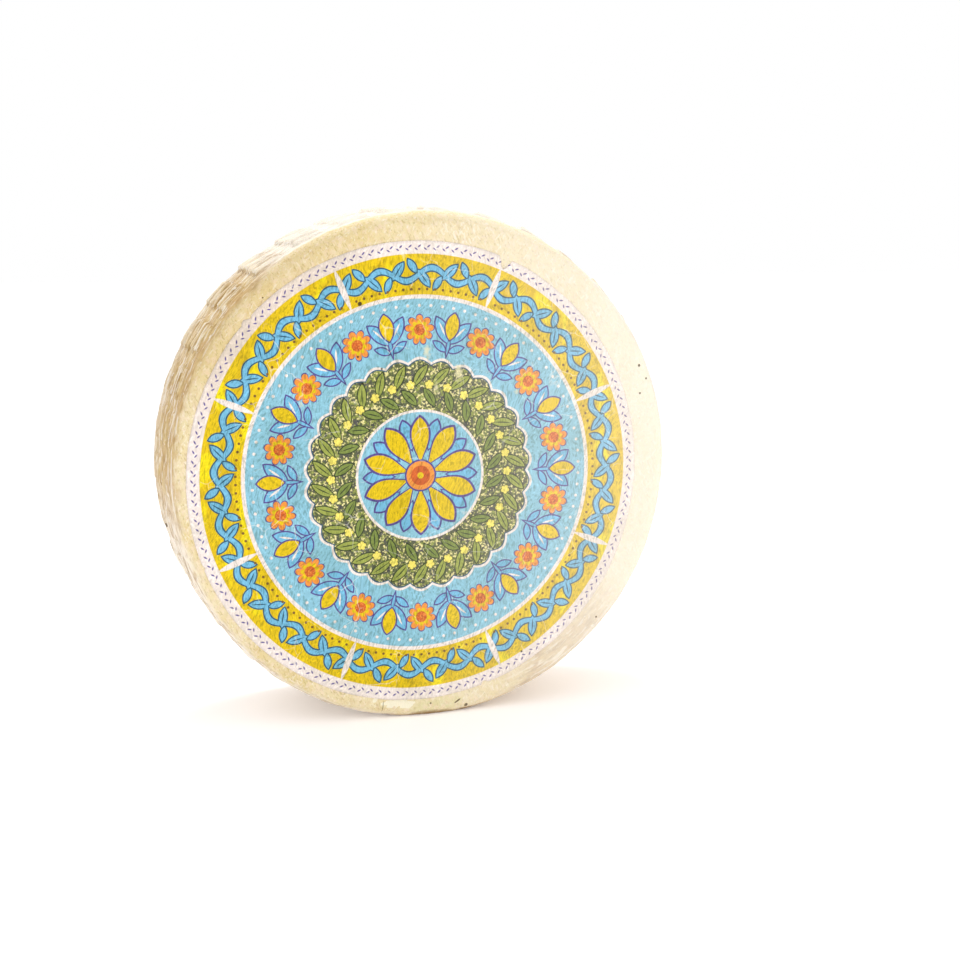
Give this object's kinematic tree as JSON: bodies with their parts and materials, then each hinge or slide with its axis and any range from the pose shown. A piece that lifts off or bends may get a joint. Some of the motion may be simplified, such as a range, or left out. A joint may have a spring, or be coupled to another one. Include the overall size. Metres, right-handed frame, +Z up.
{
  "type": "whole cheese wheel",
  "caption": "Whole wheel of aged hard cheese standing on its rim, with rounded shoulders, a side wall pressed into ridged panels, and a round printed label on its front face.",
  "frame": {"origin": "On the ground under the middle of the wheel with its label on, at the bottom centre of the part's box", "axes": "+Z up, the wheel's axis along Y with the labelled face towards -Y, +X to the right as seen from in front of the label"},
  "size_m": [0.2934, 0.0896, 0.2902],
  "materials": {
    "rind": null,
    "label_film": "Thin printed film bonded to the rind, satin, wrinkled and worn, printed in yellow, sky blue, olive green and orange"
  },
  "bodies": {
    "root": {"cheese_wheel": "rind", "label": "label_film"}
  },
  "joints": []
}
